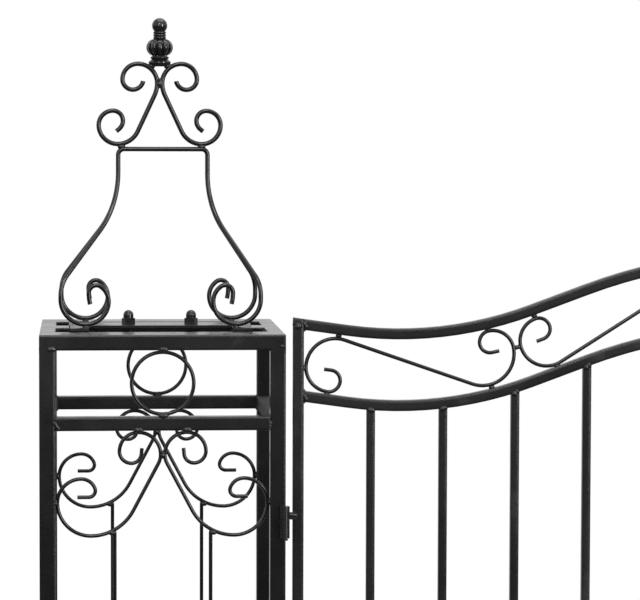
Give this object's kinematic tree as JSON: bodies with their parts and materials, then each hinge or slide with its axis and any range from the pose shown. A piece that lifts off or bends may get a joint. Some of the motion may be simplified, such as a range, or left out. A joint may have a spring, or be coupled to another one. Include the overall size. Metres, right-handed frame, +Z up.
{
  "type": "garden gate with box posts",
  "caption": "Ornamental steel garden gate: one bow-topped hinged leaf between two open box posts with scrollwork panels and scrolled finials.",
  "frame": {"origin": "on the ground, in the middle of the left post's foot strip", "axes": "+Z up, +X along the gate from the hinge post to the other post, +Y from front to back"},
  "size_m": [1.222, 0.2133, 1.6006],
  "materials": {
    "post_frame": "semi-gloss black powder coat",
    "leaf_frame": "semi-gloss black powder coat",
    "wrought_wire": "semi-gloss black powder coat",
    "fixings": "semi-gloss black paint"
  },
  "bodies": {
    "posts": {"left_back_legs": "post_frame", "left_back_panel_bars": "post_frame", "left_back_ring": "wrought_wire", "left_back_scrolls": "wrought_wire", "left_cap_frame": "post_frame", "left_finial_back_crest": "wrought_wire", "left_finial_back_hoop": "wrought_wire", "left_finial_base": "wrought_wire", "left_finial_front_crest": "wrought_wire", "left_finial_front_hoop": "wrought_wire", "left_finial_knob": "wrought_wire", "left_finial_nuts": "fixings", "left_foot_frame": "post_frame", "left_front_legs": "post_frame", "left_front_panel_bars": "post_frame", "left_front_ring": "wrought_wire", "left_front_scrolls": "wrought_wire", "left_lower_rails": "post_frame", "left_upper_rails": "post_frame", "lower_hinge_barrel": "fixings", "right_back_legs": "post_frame", "right_back_panel_bars": "post_frame", "right_back_ring": "wrought_wire", "right_back_scrolls": "wrought_wire", "right_cap_frame": "post_frame", "right_finial_back_crest": "wrought_wire", "right_finial_back_hoop": "wrought_wire", "right_finial_base": "wrought_wire", "right_finial_front_crest": "wrought_wire", "right_finial_front_hoop": "wrought_wire", "right_finial_knob": "wrought_wire", "right_finial_nuts": "fixings", "right_foot_frame": "post_frame", "right_front_legs": "post_frame", "right_front_panel_bars": "post_frame", "right_front_ring": "wrought_wire", "right_front_scrolls": "wrought_wire", "right_lower_rails": "post_frame", "right_upper_rails": "post_frame", "upper_hinge_barrel": "fixings"},
    "leaf": {"frieze_left_inner_scroll": "wrought_wire", "frieze_left_outer_scroll": "wrought_wire", "frieze_right_inner_scroll": "wrought_wire", "frieze_right_outer_scroll": "wrought_wire", "leaf_bars": "leaf_frame", "leaf_bottom_rail": "leaf_frame", "leaf_frieze_rail": "leaf_frame", "leaf_left_stile": "leaf_frame", "leaf_right_stile": "leaf_frame", "leaf_top_rail": "leaf_frame", "lower_hinge_pin": "fixings", "upper_hinge_pin": "fixings"}
  },
  "joints": [
    {"name": "leaf_hinge", "type": "hinge", "parent": "posts", "child": "leaf", "pos_m": [0.1015, -0.1068, 0], "axis": [0, 0, -1], "range_deg": [0, 110]}
  ]
}
